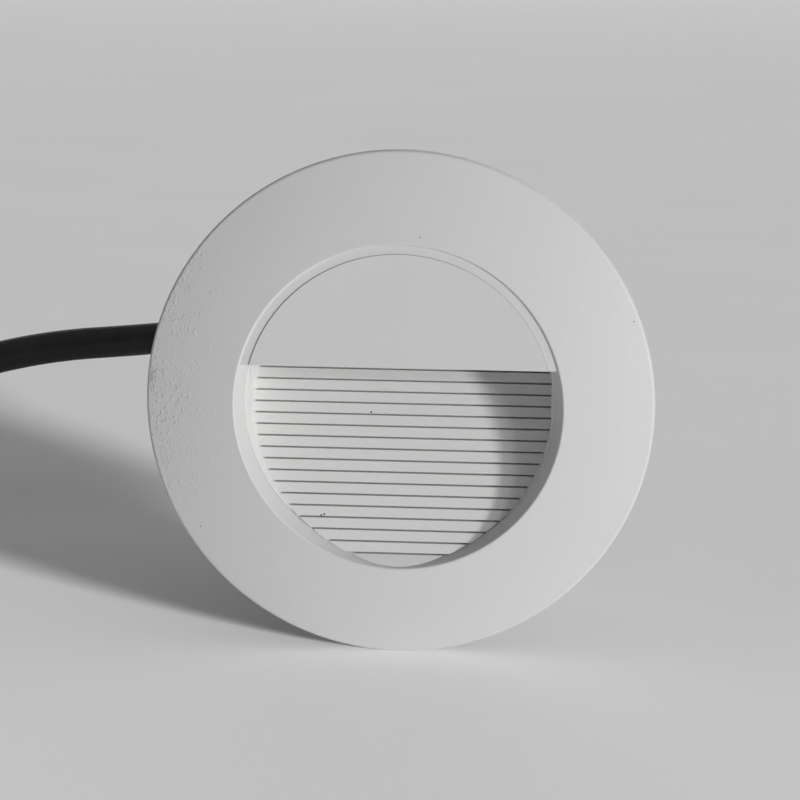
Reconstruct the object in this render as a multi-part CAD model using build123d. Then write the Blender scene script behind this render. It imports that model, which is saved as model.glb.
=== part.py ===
from build123d import *
import math
import os

# A round recessed step light for a hole in a wall. All sizes are in millimetres.
# The light's axis is Y: the front looks along -Y, the body goes into the wall along +Y,
# and +Z is up. The origin is on the axis, in the plane of the wall's face.

# Trim ring: a shallow cone of cast aluminium, with a spigot that enters the wall.
ring_diameter = 85.0
ring_edge_thickness = 1.8
ring_face_angle = 12.0
ring_face_crown = 0.25
rim_round = 0.3
wall_hole_diameter = 70.0
spigot_clearance = 0.25
spigot_length = 9.0
spigot_wall = 3.15
seat_depth = 1.6
seat_width = 4.25
land_depth = 0.4
land_draft = 0.15
bevel_width = 1.1

# Foam gasket in a rebate in the ring's back.
foam_gap = 1.55
foam_width = 4.0
foam_rebate = 0.6
foam_stands_proud = 0.4

# Front insert: the eyelid hood on a collar, and the flange that it is clamped by.
hood_clearance = 0.04
hood_edge_height = 6.8
hood_thickness = 2.2
hood_inset = 1.65
hood_stands_proud = 0.25
collar_wall = 0.9
flange_clearance = 0.3
flange_thickness = 1.2
key_width = 3.0
key_depth = 0.8
key_clearance = 0.1

# Stepped reflector: sloping boards with a narrow groove under each nose, and a sill below.
board_pitch = 1.84
board_count = 26
lowest_groove_height = -25.0
slope_angle = 20.5
slope_depth_at_lowest_groove = 2.0
groove_height = 0.34
groove_depth = 1.5
nose_overhang = 0.22
sill_set_back = 0.1
pocket_taper = 0.1
pocket_half_width = 25.3
ceiling_height = 18.0
reflector_back_thickness = 2.4
reflector_wall = 1.3

# Flat silicone gasket behind the reflector's flange.
front_gasket_thickness = 1.0

# Housing: a cast can that screws into the ring's spigot.
thread_clearance = 0.15
neck_wall = 3.05
can_step = 0.6
can_wall = 2.1
can_depth = 45.0
rear_wall = 2.5
grip_flange_thickness = 2.0
grip_flange_inset = 0.35
grip_notches = 24
o_ring_section = 1.4
shelf_depth = 24.0

# Light engine above the pocket.
window_half_length = 13.0
window_front = 2.2
window_rear = 13.0
window_thickness = 1.5
window_lip = 0.8
window_rebate_clearance = 0.15
chamber_height = 3.0
chamber_wall = 1.4
board_thickness = 1.2
led_count = 5
led_pitch = 2.75
led_length = 3.5
led_width = 2.2
led_screw_inset = 3.3
led_height = 0.7
led_wire_radius = 0.7
led_wire_length = 10.0

# Driver on a round circuit board behind the reflector.
driver_board_clearance = 2.9
driver_board_standoff = 12.5
driver_board_thickness = 1.6
driver_post_inset = 3.5
driver_post_radius = 2.6
driver_screw_length = 7.1
transformer_width = 13.0
transformer_height = 11.0
transformer_depth = 11.5
input_capacitor_radius = 4.5
input_capacitor_length = 13.0
output_capacitor_radius = 3.2
output_capacitor_length = 9.0
choke_radius = 3.4
choke_length = 7.0

# Cable gland in the middle of the rear wall.
gland_thread = 16.0
gland_across_flats = 20.0
gland_hex_thickness = 5.0
gland_washer_thickness = 0.8
gland_cap_length = 16.0
locknut_thickness = 3.2

# Supply lead, three cores in one round sheath.
lead_diameter = 6.6
core_diameter = 2.3
coil_turns = 1.1
coil_start_radius = 40.0
coil_spacing = 1.5
coil_centre = Vector(-115.0, 0.0)
coil_start_angle = 172.0

# Spring clips, one on each side of the can.
hinge_stand_off = 2.5
hinge_depth = 22.0
clip_rest_angle = 22.0
clip_length = 17.0
clip_width = 9.0
clip_sheet = 0.8
clip_plate_offset = 0.7
bracket_sheet = 0.8
bracket_length = 13.0
bracket_flat_depth = 0.6
pin_radius = 1.2
pin_clearance = 0.05
spring_wire = 0.6
spring_radius = 1.85
spring_turns = 5.5
spring_pitch = 0.85
sleeve_length = 7.0
sleeve_wall = 0.8

# General clearances.
seat_gap = 0.05

# Radii from the wall's hole inwards: spigot, neck, flange, ring's bore, can and driver.
ring_radius = ring_diameter / 2
spigot_radius = wall_hole_diameter / 2 - spigot_clearance
neck_bore = spigot_radius - spigot_wall
neck_thread_radius = neck_bore - thread_clearance
neck_bore_radius = neck_thread_radius - neck_wall
can_radius = neck_bore_radius + can_step
grip_flange_radius = spigot_radius - grip_flange_inset
flange_radius = neck_bore - flange_clearance
bore_radius = neck_bore - seat_width
driver_board_radius = can_radius - can_wall - driver_board_clearance
driver_post_circle = driver_board_radius - driver_post_inset
driver_board_face = can_depth - rear_wall - driver_board_standoff
hinge_reach = can_radius - bracket_flat_depth + bracket_sheet + hinge_stand_off
rim_height = ring_edge_thickness + (ring_radius - bore_radius) * math.tan(math.radians(ring_face_angle))
floor_height = -ring_radius


def turned(*points):
    """A solid of revolution about the light's axis, from (radius, depth) corners."""
    return revolve(make_face(Polyline(*points, close=True)), Axis.Y)


def block(low, high):
    """A box between two corners."""
    sizes = [b - a for a, b in zip(low, high)]
    middle = [(a + b) / 2 for a, b in zip(low, high)]
    return Pos(*middle) * Box(*sizes)


def along_y(radius, start, end, x=0.0, z=0.0):
    return Pos(x, (start + end) / 2, z) * Rot(90, 0, 0) * Cylinder(radius, end - start)


def along_z(radius, start, end, x=0.0, y=0.0):
    return Pos(x, y, (start + end) / 2) * Cylinder(radius, end - start)


def along_x(radius, start, end, y=0.0, z=0.0):
    return Pos((start + end) / 2, y, z) * Rot(0, 90, 0) * Cylinder(radius, end - start)


def tube_along(path, radius):
    """A round wire swept along a wire or curve from its start."""
    section = Plane(origin=path @ 0, z_dir=path % 0) * Circle(radius)
    return sweep(section, path=path)


def rounded_route(points, radius=None):
    """Straight runs joined by tangent arcs, each arc as large as its two runs allow."""
    corners = [Vector(*p) for p in points]
    radii = []
    for before, here, after in zip(corners, corners[1:], corners[2:]):
        turn = (here - before).get_angle(after - here)
        shorter = min((here - before).length, (after - here).length)
        radii.append(radius or 0.45 * shorter / math.tan(math.radians(turn / 2)))
    return FilletPolyline(*corners, radius=radii), radii


def biarc(start, start_way, end, end_way):
    """Two tangent arcs from one point and direction to another."""
    chord = end - start
    ways = start_way + end_way
    bend = 2 * (1 - start_way.dot(end_way))
    if bend < 1e-9:
        reach = chord.dot(chord) / (4 * chord.dot(end_way))
    else:
        along = chord.dot(ways)
        reach = (math.sqrt(along**2 + bend * chord.dot(chord)) - along) / bend
    middle = (start + end + (start_way - end_way) * reach) * 0.5
    middle_way = (end - end_way * reach) - (start + start_way * reach)
    first = TangentArc(start, middle, tangent=start_way)
    second = TangentArc(middle, end, tangent=middle_way)
    return [first, second]


def arcs_through(points, ways):
    """A smooth chain of biarcs through points with given directions."""
    edges = []
    for i in range(len(points) - 1):
        edges += biarc(points[i], ways[i], points[i + 1], ways[i + 1])
    return edges


def pan_screw(radius, length):
    """A screw along Z: its head's underside is at zero, the shank goes down, the head up."""
    head_radius = radius * 1.75
    head_height = radius * 0.85
    shank = Pos(0, 0, -length / 2) * Cylinder(radius, length)
    head = Pos(0, 0, head_height / 2) * Cylinder(head_radius, head_height)
    head = fillet(head.edges().group_by(Axis.Z)[-1], head_height * 0.35)
    slot = Pos(0, 0, head_height) * Box(head_radius, radius * 0.4, head_height * 0.8)
    cross = slot + Rot(0, 0, 90) * slot
    return shank + head - cross


# --- Trim ring ---------------------------------------------------------------------------
foam_inner_radius = spigot_radius + foam_gap
foam_outer_radius = foam_inner_radius + foam_width
land_front = -rim_height + land_depth
hood_radius = bore_radius - hood_inset
land_radius = hood_radius + hood_clearance
bevel_top_radius = bore_radius - land_draft
bevel_foot_radius = bevel_top_radius - bevel_width
face_start = Vector(bore_radius, -rim_height)
face_end = Vector(ring_radius, -ring_edge_thickness)
face_way = (face_end - face_start).normalized()
face_middle = (face_start + face_end) * 0.5 + Vector(face_way.Y, -face_way.X) * ring_face_crown
ring_back = Polyline(
    face_end,
    (ring_radius, 0),
    (foam_outer_radius, 0),
    (foam_outer_radius, -foam_rebate),
    (foam_inner_radius, -foam_rebate),
    (foam_inner_radius, 0),
    (spigot_radius, 0),
    (spigot_radius, spigot_length),
    (neck_bore, spigot_length),
    (neck_bore, -seat_depth),
    (land_radius, -seat_depth),
    (land_radius, land_front),
    (bevel_top_radius, land_front),
    face_start,
)
ring_face = ThreePointArc(face_start, face_middle, face_end)
trim_ring = revolve(make_face([ring_back, ring_face]), Axis.Y)


def circle_edges(solid, radius, depth):
    """The full circles of a turned solid at one radius and depth."""
    found = []
    for edge in solid.edges().filter_by(GeomType.CIRCLE):
        place = edge.arc_center
        if abs(edge.radius - radius) < 0.01 and abs(place.Y - depth) < 0.01:
            found.append(edge)
    return found


trim_ring = fillet(circle_edges(trim_ring, bore_radius, -rim_height), rim_round)
trim_ring = fillet(circle_edges(trim_ring, ring_radius, -ring_edge_thickness), rim_round * 2)
bevel = turned(
    (0, land_front),
    (bevel_top_radius, land_front),
    (bevel_foot_radius, -seat_depth),
    (0, -seat_depth),
)
trim_ring -= bevel & block(
    (-ring_radius, land_front, -ring_radius),
    (ring_radius, -seat_depth, hood_edge_height),
)
key_height = (bore_radius + flange_radius) / 2
key_half_height = 0.9
trim_ring -= block(
    (-key_width / 2 - key_clearance, -seat_depth - key_depth - key_clearance, key_height - 1),
    (key_width / 2 + key_clearance, -seat_depth, key_height + 1),
)

wall_foam = turned(
    (foam_inner_radius + seat_gap, -foam_rebate),
    (foam_outer_radius - seat_gap, -foam_rebate),
    (foam_outer_radius - seat_gap, foam_stands_proud),
    (foam_inner_radius + seat_gap, foam_stands_proud),
)

# --- Front insert with the hood ----------------------------------------------------------
hood_front = land_front - hood_stands_proud
flange_rear = -seat_depth + flange_thickness
above_hood_edge = block(
    (-ring_radius, hood_front, hood_edge_height),
    (ring_radius, flange_rear, ring_radius),
)
hood = turned(
    (0, hood_front),
    (hood_radius, hood_front),
    (hood_radius, -seat_depth),
    (bevel_foot_radius + collar_wall, -seat_depth),
    (bevel_foot_radius + collar_wall, flange_rear),
    (hood_radius - collar_wall, flange_rear),
    (hood_radius - collar_wall, hood_front + hood_thickness),
    (0, hood_front + hood_thickness),
)
front_insert = turned(
    (bevel_foot_radius, -seat_depth),
    (flange_radius, -seat_depth),
    (flange_radius, flange_rear),
    (bevel_foot_radius, flange_rear),
)
front_insert += hood & above_hood_edge
front_insert += block(
    (-key_width / 2, -seat_depth - key_depth, key_height - key_half_height),
    (key_width / 2, -seat_depth, key_height + key_half_height),
)

# --- Stepped reflector -------------------------------------------------------------------
slope = math.tan(math.radians(slope_angle))
slope_start = -rim_height + slope_depth_at_lowest_groove


def slope_depth(height):
    """Depth of the boards' noses at a height."""
    return slope_start + (height - lowest_groove_height) * slope


def stepped_outline():
    """The boards' profile as (depth, height) corners, from the lowest nose upwards."""
    corners = []
    for step in range(board_count):
        nose = lowest_groove_height + step * board_pitch
        front = slope_depth(nose)
        lip = front - slope * groove_height + nose_overhang
        corners.append((lip, nose - groove_height))
        corners.append((front + groove_depth, nose - groove_height))
        corners.append((front + groove_depth, nose))
        corners.append((front, nose))
    return corners


wall_gap = seat_gap * 2
bevel_slope = bevel_width / (-seat_depth - land_front)
sill_front = land_front + sill_set_back
sill_radius = bevel_foot_radius + (-seat_depth - sill_front) * bevel_slope - wall_gap
reflector_front = flange_rear
reflector_flange_rear = reflector_front + flange_thickness
pocket_mouth_radius = bevel_foot_radius - seat_gap
pocket_end = slope_depth(ceiling_height) + reflector_back_thickness + 2
pocket_end_radius = pocket_mouth_radius - (pocket_end - reflector_front) * pocket_taper
boards = stepped_outline()
boards_top = boards[-1][1] + board_pitch
open_side = [
    (hood_front - 10, -ring_radius),
    (sill_front, -ring_radius),
    (sill_front, -sill_radius),
    *boards,
    (slope_depth(boards_top), boards_top),
    (slope_depth(boards_top), ring_radius),
    (hood_front - 10, ring_radius),
]
board_face = make_face(Plane.YZ * Polyline(*open_side, close=True))
before_boards = extrude(board_face, amount=ring_radius, both=True)

reflector_body = turned(
    (0, sill_front),
    (sill_radius, sill_front),
    (bevel_foot_radius - wall_gap, -seat_depth),
    (bevel_foot_radius - wall_gap, reflector_front),
    (flange_radius, reflector_front),
    (flange_radius, reflector_flange_rear),
    (pocket_mouth_radius + reflector_wall, reflector_flange_rear),
    (pocket_end_radius + reflector_wall, pocket_end),
    (0, pocket_end),
)
pocket = turned(
    (0, sill_front - 1),
    (bore_radius, sill_front - 1),
    (bore_radius, reflector_front),
    (pocket_mouth_radius - wall_gap, reflector_front),
    (pocket_end_radius, pocket_end),
    (0, pocket_end),
)
pocket &= block(
    (-pocket_half_width, sill_front - 2, -ring_radius),
    (pocket_half_width, pocket_end + 1, ceiling_height),
) + block(
    (-ring_radius, sill_front - 2, -ring_radius),
    (ring_radius, reflector_front, ring_radius),
)
ceiling_top = ceiling_height + window_lip + window_thickness
back_of_boards = Plane.YZ * Polyline(
    (slope_depth(-ring_radius) + reflector_back_thickness, -ring_radius),
    (slope_depth(ring_radius) + reflector_back_thickness, ring_radius),
    (can_depth, ring_radius),
    (can_depth, -ring_radius),
    close=True,
)
behind_boards = extrude(make_face(back_of_boards), amount=ring_radius, both=True)
behind_boards &= block(
    (-ring_radius, reflector_flange_rear, -ring_radius),
    (ring_radius, can_depth, ring_radius),
)
reflector = reflector_body - (pocket & before_boards) - behind_boards
reflector -= block(
    (-ring_radius, reflector_flange_rear, ceiling_top),
    (ring_radius, pocket_end + 5, ring_radius),
)
window_rebate = block(
    (
        -window_half_length - window_rebate_clearance,
        window_front - window_rebate_clearance,
        ceiling_height + window_lip,
    ),
    (
        window_half_length + window_rebate_clearance,
        window_rear + window_rebate_clearance,
        ceiling_top + 1,
    ),
)
window_opening = block(
    (-window_half_length + chamber_wall, window_front + chamber_wall, ceiling_height - 0.5),
    (window_half_length - chamber_wall, window_rear - chamber_wall, ceiling_top),
)
reflector = reflector - window_rebate - window_opening

front_gasket = turned(
    (neck_bore_radius, reflector_flange_rear),
    (flange_radius, reflector_flange_rear),
    (flange_radius, reflector_flange_rear + front_gasket_thickness),
    (neck_bore_radius, reflector_flange_rear + front_gasket_thickness),
)

# --- Housing -----------------------------------------------------------------------------
neck_front = reflector_flange_rear + front_gasket_thickness
grip_front = spigot_length + o_ring_section
grip_rear = grip_front + grip_flange_thickness
neck_root = spigot_length + 0.8
can_bore = can_radius - can_wall
step_end = grip_rear - 1.5
rear_inside = can_depth - rear_wall
o_ring_middle = (neck_bore + spigot_radius) / 2
housing = turned(
    (neck_bore_radius, neck_front),
    (neck_thread_radius, neck_front),
    (neck_thread_radius, neck_root),
    (neck_thread_radius - 0.4, grip_front),
    (grip_flange_radius, grip_front),
    (grip_flange_radius, grip_rear),
    (can_radius, grip_rear),
    (can_radius, can_depth),
    (0, can_depth),
    (0, rear_inside),
    (can_bore, rear_inside),
    (can_bore, step_end),
    (neck_bore_radius, step_end - 1.5),
)
housing = fillet(circle_edges(housing, can_radius, can_depth), 2.0)
notch_circle = grip_flange_radius + 0.9
for notch in range(grip_notches):
    angle = math.radians((notch + 0.5) * 360 / grip_notches)
    housing -= along_y(
        1.6, grip_front - 1, grip_rear + 1, notch_circle * math.cos(angle), notch_circle * math.sin(angle)
    )
shelf_height = ceiling_top + chamber_height
shelf_round = along_y(can_bore + 0.5, neck_front, shelf_depth)
shelf_round += along_y(neck_bore_radius + 0.3, neck_front, step_end)
shelf = shelf_round & block(
    (-ring_radius, neck_front, shelf_height), (ring_radius, shelf_depth, ring_radius)
)
housing += shelf
gland_boss_radius = gland_across_flats / 2 + 2
gland_boss_height = 0.8
housing += along_y(gland_boss_radius, can_depth - 0.5, can_depth + gland_boss_height)
gland_hole_radius = gland_thread / 2 + 0.1
housing -= along_y(gland_hole_radius, rear_inside - 1, can_depth + gland_boss_height + 1)
post_angles = (30, 150, 270)
post_places = [
    (driver_post_circle * math.cos(math.radians(a)), driver_post_circle * math.sin(math.radians(a)))
    for a in post_angles
]
driver_board_rear = driver_board_face + driver_board_thickness
driver_screw_radius = 1.25
driver_screw_end = driver_board_rear + driver_screw_length - driver_board_thickness
for x, z in post_places:
    housing += along_y(driver_post_radius, driver_board_rear, rear_inside + 0.5, x, z)
    housing -= along_y(driver_screw_radius, driver_board_rear - 1, driver_screw_end + 1, x, z)
bracket_half_width = clip_width / 2 + 0.5 + bracket_sheet
bracket_front = hinge_depth - bracket_length / 2
bracket_rear = hinge_depth + bracket_length / 2
flat_face = can_radius - bracket_flat_depth
boss_face = can_bore - 1.6
for side in (-1, 1):
    near = side * flat_face
    far = side * (can_radius + 1)
    housing -= block(
        (min(near, far), bracket_front - 0.1, -bracket_half_width - 0.1),
        (max(near, far), bracket_rear + 0.1, bracket_half_width + 0.1),
    )
    near = side * boss_face
    far = side * (can_bore + 0.5)
    housing += block(
        (min(near, far), bracket_front - 0.4, -bracket_half_width),
        (max(near, far), bracket_front + 4.2, bracket_half_width),
    )
earth_place = (-13.0, -14.0)
earth_boss_height = 1.5
earth_screw_radius = 1.5
earth_screw_length = 4.0
housing += along_y(3.6, rear_inside - earth_boss_height, rear_inside + 0.5, *earth_place)
housing -= along_y(earth_screw_radius, rear_inside - 3, can_depth - 0.6, *earth_place)
bracket_screw_radius = 1.0
bracket_screw_depth = bracket_front + 1.9
bracket_screw_height = 3.1
bracket_screw_length = bracket_sheet + 2.2
for side in (-1, 1):
    for height in (-bracket_screw_height, bracket_screw_height):
        near = side * (flat_face - 2.6)
        far = side * (flat_face + 1)
        housing -= along_x(bracket_screw_radius, min(near, far), max(near, far), bracket_screw_depth, height)

o_ring = Pos(0, spigot_length + o_ring_section / 2, 0) * Rot(90, 0, 0) * Torus(
    o_ring_middle, o_ring_section / 2 - 0.02
)

# --- Light engine ------------------------------------------------------------------------
light_window = block(
    (-window_half_length, window_front, ceiling_height + window_lip),
    (window_half_length, window_rear, ceiling_top),
)
light_window = fillet(light_window.edges().filter_by(Axis.Z), 1.0)
chamber_inner_low = (-window_half_length + chamber_wall, window_front + chamber_wall)
chamber_inner_high = (window_half_length - chamber_wall, window_rear - chamber_wall)
window_gasket = block(
    (-window_half_length, window_front, ceiling_top), (window_half_length, window_rear, shelf_height)
)
window_gasket = fillet(window_gasket.edges().filter_by(Axis.Z), 1.0)
window_gasket -= block(
    (*chamber_inner_low, ceiling_top - 1), (*chamber_inner_high, shelf_height + 1)
)
lead_slot_half_width = 4.0
window_gasket -= block(
    (-lead_slot_half_width, chamber_inner_high[1] - 0.5, ceiling_top + 0.3),
    (lead_slot_half_width, window_rear + 1, shelf_height - board_thickness + 0.2),
)
board_inset = 0.3
led_board_bottom = shelf_height - board_thickness
led_board = block(
    (chamber_inner_low[0] + board_inset, chamber_inner_low[1] + board_inset, led_board_bottom),
    (chamber_inner_high[0] - board_inset, chamber_inner_high[1] - board_inset, shelf_height),
)
led_row_depth = (window_front + window_rear) / 2
led_screw_radius = 1.0
led_screw_reach = window_half_length - led_screw_inset
led_chips = []
for chip in range(led_count):
    x = (chip - (led_count - 1) / 2) * led_pitch
    body = block(
        (x - led_width / 2, led_row_depth - led_length / 2, led_board_bottom - led_height),
        (x + led_width / 2, led_row_depth + led_length / 2, led_board_bottom),
    )
    led_chips.append(body)
led_screws = []
for side in (-1, 1):
    led_board -= along_z(
        led_screw_radius + 0.1, led_board_bottom - 1, shelf_height + 1, side * led_screw_reach, led_row_depth
    )
    housing -= along_z(
        led_screw_radius, shelf_height - 1, shelf_height + 2.6, side * led_screw_reach, led_row_depth
    )
    screw = pan_screw(led_screw_radius - 0.02, board_thickness + 2.2)
    place = Pos(side * led_screw_reach, led_row_depth, led_board_bottom)
    led_screws.append(place * Rot(180, 0, 0) * screw)

# --- Driver ------------------------------------------------------------------------------
driver_board = along_y(driver_board_radius, driver_board_face, driver_board_rear)
driver_screws = []
for x, z in post_places:
    driver_board -= along_y(driver_screw_radius + 0.15, driver_board_face - 1, driver_board_rear + 1, x, z)
    screw = pan_screw(driver_screw_radius - 0.02, driver_screw_length)
    driver_screws.append(Pos(x, driver_board_face, z) * Rot(90, 0, 0) * screw)
core_high = (-2.5, driver_board_face, 1.5)
core_low = (
    core_high[0] - transformer_width,
    core_high[1] - transformer_depth,
    core_high[2] - transformer_height,
)
core_window = 2.6
transformer_core = block(core_low, core_high)
transformer_core -= block(
    (core_low[0] + core_window, core_low[1] + core_window, core_low[2] - 1),
    (core_high[0] - core_window, core_high[1] - core_window, core_high[2] + 1),
)
transformer_core = fillet(transformer_core.edges().filter_by(Axis.Z), 0.4)
winding_gap = 0.1
transformer_winding = block(
    (core_low[0] + core_window + winding_gap, core_low[1] + core_window + winding_gap, core_low[2] - 1.5),
    (core_high[0] - core_window - winding_gap, core_high[1] - core_window - winding_gap, core_high[2] + 1.5),
)
transformer_winding = fillet(transformer_winding.edges().filter_by(Axis.Z), 1.2)
input_capacitor = along_y(
    input_capacitor_radius, driver_board_face - input_capacitor_length, driver_board_face, 8.0, -6.0
)
input_capacitor = fillet(input_capacitor.edges().group_by(Axis.Y)[0], 0.6)
output_capacitor = along_y(
    output_capacitor_radius, driver_board_face - output_capacitor_length, driver_board_face, 15.5, 3.5
)
output_capacitor = fillet(output_capacitor.edges().group_by(Axis.Y)[0], 0.5)
choke_place = (-10.5, 10.5)
choke_flange = 1.2
choke = along_y(choke_radius, driver_board_face - choke_length, driver_board_face, *choke_place)
choke -= turned(
    (choke_radius - 1.0, driver_board_face - choke_length + choke_flange),
    (choke_radius + 1.0, driver_board_face - choke_length + choke_flange),
    (choke_radius + 1.0, driver_board_face - choke_flange),
    (choke_radius - 1.0, driver_board_face - choke_flange),
).moved(Pos(choke_place[0], 0, choke_place[1]))
small_parts = [
    block((4.0, driver_board_face - 1.6, 4.5), (9.0, driver_board_face, 8.5)),
    block((5.5, driver_board_face - 2.4, -17.5), (10.5, driver_board_face, -13.5)),
    block((-9.5, driver_board_face - 1.2, -16.0), (-6.5, driver_board_face, -14.4)),
    block((-3.0, driver_board_face - 1.2, 7.0), (-1.4, driver_board_face, 10.2)),
    along_y(1.3, driver_board_face - 6.0, driver_board_face, 1.5, -14.5),
]
pole_pitch = 5.5
terminal_low = 12.8
terminal_high = 20.8
terminal_rear = driver_board_rear + 7.5
terminal_block = block(
    (-pole_pitch - 0.6, driver_board_rear, terminal_low), (pole_pitch + 0.6, terminal_rear, terminal_high)
)
terminal_block = fillet(terminal_block.edges().filter_by(Axis.X), 0.5)
core_entry_depth = driver_board_rear + 2.9
core_radius = core_diameter / 2
terminal_screws = []
for side in (-1, 1):
    x = side * pole_pitch / 2
    terminal_block -= along_z(core_radius + 0.2, terminal_low - 1, terminal_low + 4.0, x, core_entry_depth)
    terminal_block -= along_y(1.6, terminal_rear - 3.0, terminal_rear + 1, x, terminal_high - 3.2)
    screw = along_y(1.5, terminal_rear - 3.0, terminal_rear - 0.8, x, terminal_high - 3.2)
    screw -= block(
        (x - 1.4, terminal_rear - 1.3, terminal_high - 3.45), (x + 1.4, terminal_rear, terminal_high - 2.95)
    )
    terminal_screws.append(screw)

# --- Cable gland -------------------------------------------------------------------------
washer_start = can_depth + gland_boss_height
hex_start = washer_start + gland_washer_thickness
hex_end = hex_start + gland_hex_thickness
hex_radius = gland_across_flats / 2 / math.cos(math.radians(30))
lead_radius = lead_diameter / 2
lead_hole = lead_radius + 0.3
gland_inner_end = rear_inside - locknut_thickness - 0.5
gland_thread_end = hex_end + 7.5
cap_start = hex_end + 0.4
gland_mouth = cap_start + gland_cap_length
seal_outer = 5.6
seal_front = hex_end + 0.5
seal_end = gland_thread_end + 2.5


def hexagon_along_y(start, end, corner_radius):
    prism = extrude(RegularPolygon(corner_radius, 6), amount=end - start)
    prism = Pos(0, start, 0) * Rot(-90, 0, 0) * prism
    across = corner_radius * math.cos(math.radians(30))
    limit = turned(
        (0, start),
        (across, start),
        (corner_radius, start + (corner_radius - across) * 0.6),
        (corner_radius, end - (corner_radius - across) * 0.6),
        (across, end),
        (0, end),
    )
    return prism & limit


gland_body = hexagon_along_y(hex_start, hex_end, hex_radius)
gland_body += along_y(gland_thread / 2 - 0.05, gland_inner_end, hex_start + 0.1)
gland_body += along_y(gland_thread / 2 - 0.6, hex_end - 0.1, gland_thread_end)
gland_body -= along_y(lead_hole, gland_inner_end - 1, gland_thread_end + 1)
gland_body -= along_y(seal_outer + seat_gap, seal_front, gland_thread_end + 1)
gland_washer = turned(
    (gland_thread / 2 + 0.15, washer_start),
    (gland_across_flats / 2, washer_start),
    (gland_across_flats / 2, hex_start),
    (gland_thread / 2 + 0.15, hex_start),
)
locknut = hexagon_along_y(rear_inside - locknut_thickness, rear_inside, hex_radius)
locknut -= along_y(gland_thread / 2 + 0.1, rear_inside - locknut_thickness - 1, rear_inside + 1)
gland_seal = turned(
    (lead_radius + seat_gap, seal_front),
    (seal_outer, seal_front),
    (seal_outer, gland_thread_end),
    (lead_radius + 1.0, seal_end),
    (lead_radius + seat_gap, seal_end),
)
cap_hex_end = cap_start + 8.5
cap_mouth_radius = lead_radius + 1.9
cap_bore = gland_thread / 2 - 0.45
gland_cap = hexagon_along_y(cap_start, cap_hex_end, hex_radius)
gland_cap += turned(
    (0, cap_hex_end - 1.0),
    (gland_across_flats / 2 - 0.4, cap_hex_end - 1.0),
    (gland_across_flats / 2 - 0.7, cap_hex_end + 1.6),
    (cap_mouth_radius + 1.8, gland_mouth - 2.0),
    (cap_mouth_radius, gland_mouth),
    (0, gland_mouth),
)
gland_cap -= turned(
    (0, cap_start - 1),
    (cap_bore, cap_start - 1),
    (cap_bore, gland_thread_end + 0.3),
    (lead_radius + 1.3, seal_end + 0.4),
    (lead_hole, seal_end + 0.4),
    (lead_hole, gland_mouth + 1),
    (0, gland_mouth + 1),
)

# --- Supply lead -------------------------------------------------------------------------
lead_inner_end = gland_inner_end - 0.6
lead_in_gland = along_y(lead_radius, lead_inner_end, gland_mouth)
lead_rest_height = floor_height + lead_radius
coil_end_radius = coil_start_radius - coil_turns * (lead_diameter + coil_spacing)


def coil_place(turn):
    """A point of the flat coil's centreline and its direction, after so many turns."""
    angle = math.radians(coil_start_angle + turn * 360)
    radius = coil_start_radius - turn * (lead_diameter + coil_spacing)
    out = Vector(math.cos(angle), math.sin(angle))
    round_it = Vector(-math.sin(angle), math.cos(angle))
    place = coil_centre + out * radius
    inward = (lead_diameter + coil_spacing) / (2 * math.pi)
    way = (round_it * radius - out * inward).normalized()
    return Vector(place.X, place.Y, lead_rest_height), Vector(way.X, way.Y, 0)


coil_start, coil_start_way = coil_place(0)
lead_meets_coil = coil_start - coil_start_way * lead_diameter
last_corner = lead_meets_coil - coil_start_way * 18.0
lead_route = [
    (0, gland_mouth, 0),
    (0, 85, 0),
    (-7.5, 101, -2.2),
    (-21.2, 111.7, -4.6),
    (-41, 115.2, -7.6),
    (-62, 114.6, -10),
    (-85, 110.2, -11.3),
    (-107, 101, -16.5),
    (-126, 87, -25),
    (-139.5, 69, -33.5),
    (-147, 49, -38.6),
    (last_corner.X, last_corner.Y, lead_rest_height),
    (lead_meets_coil.X, lead_meets_coil.Y, lead_rest_height),
]
lead_path, lead_radii = rounded_route(lead_route)
supply_lead = tube_along(lead_path, lead_radius)

coil_steps = max(2, round(coil_turns * 4))
coil_points = []
coil_ways = []
for step in range(coil_steps + 1):
    point, way = coil_place(coil_turns * step / coil_steps)
    coil_points.append(point)
    coil_ways.append(way)
coil_end = coil_points[-1]
coil_end_way = coil_ways[-1]
sheath_end = coil_end + coil_end_way * lead_diameter
coil_edges = [Line(lead_meets_coil, coil_start)]
coil_edges += arcs_through(coil_points, coil_ways)
coil_edges.append(Line(coil_end, sheath_end))
coil_path = Wire(coil_edges)
lead_coil = tube_along(coil_path, lead_radius)

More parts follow.
